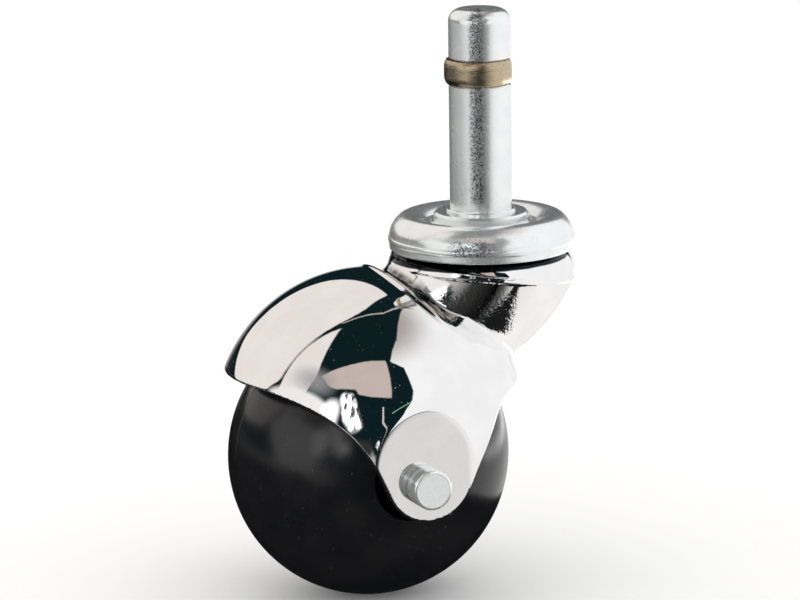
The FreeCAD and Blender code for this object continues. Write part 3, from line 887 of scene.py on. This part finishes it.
def reflected_sky(nodes):
    """Light tent as the metal and the ball reflect it: bright cloth, dark gaps and one strong lamp."""
    direction = nodes.add("ShaderNodeTexCoord").outputs["Generated"]
    x, y, z = nodes.axes(direction)
    height = nodes.times(nodes.math("ARCSINE", z), 180 / math.pi)
    room = horizon(nodes, nodes.azimuth(x, y))
    colour = nodes.mix(nodes.step(height, -3.0, 3.0), room, TEAL)
    for corners, soft, tone in SKY_PATCHES:
        colour = nodes.mix(sky_polygon(nodes, direction, corners, soft), colour, tone)
    softbox = sky_polygon(nodes, direction, SOFTBOX[0])
    for corners in SOFTBOX[1:]:
        softbox = nodes.math("MAXIMUM", softbox, sky_polygon(nodes, direction, corners))
    softbox_tone = nodes.mix(nodes.step(height, 48, 74), (0.93, 0.93, 0.94), (0.42, 0.38, 0.36))
    colour = nodes.mix(softbox, colour, softbox_tone)
    return lamp(nodes, direction, colour)


def lamp(nodes, direction, behind):
    """Streaky lamp in a dark rim, with a glow at its side, in front of the rest of the tent."""
    streaks = nodes.noise(nodes.scaled(direction, (16, 16, 5)), 1.0, 2, 0.5)
    glare = nodes.mix(nodes.step(streaks, 0.34, 0.60), (0.10, 0.11, 0.12), (LAMP_POWER,) * 3)
    colour = nodes.mix(sky_polygon(nodes, direction, LAMP_RIM, 1.5), behind, TEAL)
    colour = nodes.mix(sky_polygon(nodes, direction, LAMP, 4.0), colour, glare)
    return nodes.mix(sky_polygon(nodes, direction, LAMP_HALO, 8.0), colour, (HALO_POWER,) * 3)


def background(nodes, colour, strength=1.0):
    if isinstance(colour, tuple):
        colour = (*colour, 1)
    return nodes.add("ShaderNodeBackground", {"Color": colour, "Strength": strength}).outputs[0]


def studio_world():
    """The camera sees plain white and matt surfaces an even light. Only reflections see the tent."""
    world = bpy.data.worlds.new("studio")
    world.use_nodes = True
    bpy.context.scene.world = world
    nodes = Nodes(world.node_tree)
    path = nodes.add("ShaderNodeLightPath").outputs
    seen = background(nodes, (1, 1, 1))
    even = background(nodes, (1, 0.998, 0.995), 1.08)
    tent = background(nodes, reflected_sky(nodes))
    lit = nodes.add("ShaderNodeMixShader", {0: path["Is Diffuse Ray"], 1: tent, 2: even}).outputs[0]
    final = nodes.add("ShaderNodeMixShader", {0: path["Is Camera Ray"], 1: lit, 2: seen}).outputs[0]
    output = nodes.add("ShaderNodeOutputWorld")
    nodes.tree.links.new(final, output.inputs[0])


def sheet(name, low, high, z):
    """Flat rectangle between two (x, y) corners in metres, part of the studio."""
    (x0, y0), (x1, y1) = low, high
    corners = [(x0, y0, z), (x1, y0, z), (x1, y1, z), (x0, y1, z)]
    mesh = bpy.data.meshes.new(name)
    mesh.from_pydata(corners, [], [(0, 1, 2, 3)])
    piece = bpy.data.objects.new(name, mesh)
    bpy.context.scene.collection.objects.link(piece)
    return piece


def floor():
    """Plain pale floor under the wheel. Reflections see the tent instead of it."""
    ground = sheet("floor", (-6, -6), (6, 6), FLOOR_Z * MM)
    material, nodes, shader, place = new_material("floor")
    paper = nodes.noise(place, 60, 3)
    connect(
        nodes, shader,
        Base_Color=nodes.mix(paper, (0.93, 0.93, 0.93), (0.95, 0.95, 0.945)),
        Roughness=0.9,
        Specular_IOR_Level=0.0,
        Emission_Color=(1.0, 1.0, 1.0),
        Emission_Strength=0.06,
    )
    paint(ground, material)
    ground.visible_glossy = False


def floor_card(name, low, high, depth, fade_from, fade_to, colours):
    """Card lying on the floor that only reflections see, with one soft border across X."""
    card = sheet(name, low, high, (FLOOR_Z - depth) * MM)
    material, nodes, shader, place = new_material(name)
    tone = nodes.mix(nodes.noise(place, 40, 3), *colours)
    cloth = nodes.add("ShaderNodeEmission", {"Color": tone}).outputs[0]
    clear = nodes.add("ShaderNodeBsdfTransparent").outputs[0]
    cover = nodes.step(nodes.axes(place)["X"], fade_from, fade_to)
    mixed = nodes.add("ShaderNodeMixShader", {0: cover, 1: clear, 2: cloth}).outputs[0]
    output = [node for node in nodes.tree.nodes if node.type == "OUTPUT_MATERIAL"][0]
    nodes.tree.links.new(mixed, output.inputs[0])
    paint(card, material)
    card.visible_camera = False
    card.visible_diffuse = False
    card.visible_shadow = False


def floor_cards():
    """Black cloth on the left keeps the ball dark there. A bright one on the right lights its rim."""
    blacks = ((0.006, 0.007, 0.008), (0.016, 0.016, 0.016))
    edge = DARK_CARD_HIGH[0]
    floor_card("dark_card", DARK_CARD_LOW, DARK_CARD_HIGH, 0.2, edge, edge - DARK_CARD_FADE, blacks)
    whites = ((BRIGHT_CARD_POWER * 0.9,) * 3, (BRIGHT_CARD_POWER,) * 3)
    edge = BRIGHT_CARD_LOW[0]
    floor_card("bright_card", BRIGHT_CARD_LOW, BRIGHT_CARD_HIGH, 0.4, edge, edge + BRIGHT_CARD_FADE, whites)


def camera():
    """Long lens from the front left, a little above the stem's flange, with a slight roll."""
    back = sky(CAMERA_AZIMUTH, CAMERA_HEIGHT)
    right = sky(CAMERA_AZIMUTH + 90, 0)
    up = back.cross(right)
    roll = math.radians(CAMERA_ROLL)
    rolled_right = right * math.cos(roll) + up * math.sin(roll)
    rolled_up = up * math.cos(roll) - right * math.sin(roll)
    data = bpy.data.cameras.new("camera")
    data.lens = 225
    data.sensor_width = 36
    data.clip_start = 0.01
    view = bpy.data.objects.new("camera", data)
    turn = Matrix((rolled_right, rolled_up, back)).transposed().to_4x4()
    place = Vector(CAMERA_TARGET) + back * CAMERA_DISTANCE
    view.matrix_world = Matrix.Translation(place * MM) @ turn
    bpy.context.scene.collection.objects.link(view)
    bpy.context.scene.camera = view


# ---------------------------------------------------------------- assembly

def paint_cad_nodes():
    by_slot = {
        "zinc_plated_steel": zinc(),
        "bronze_spring_steel": bronze(),
        "bearing_steel": bearing_steel(),
        "core_plastic": core_plastic(),
    }
    for subpart in frame["record"]["subparts"]:
        slot = subpart["material_slot"]
        if slot in by_slot:
            node = frame["nodes"][subpart["node"]]
            smooth_mesh(node.data)
            paint(node, by_slot[slot])


paint_cad_nodes()
paint(horn(), chrome())
paint(tread(), black_tread())
studio_world()
floor()
floor_cards()
camera()
bpy.context.scene.view_settings.view_transform = "Standard"
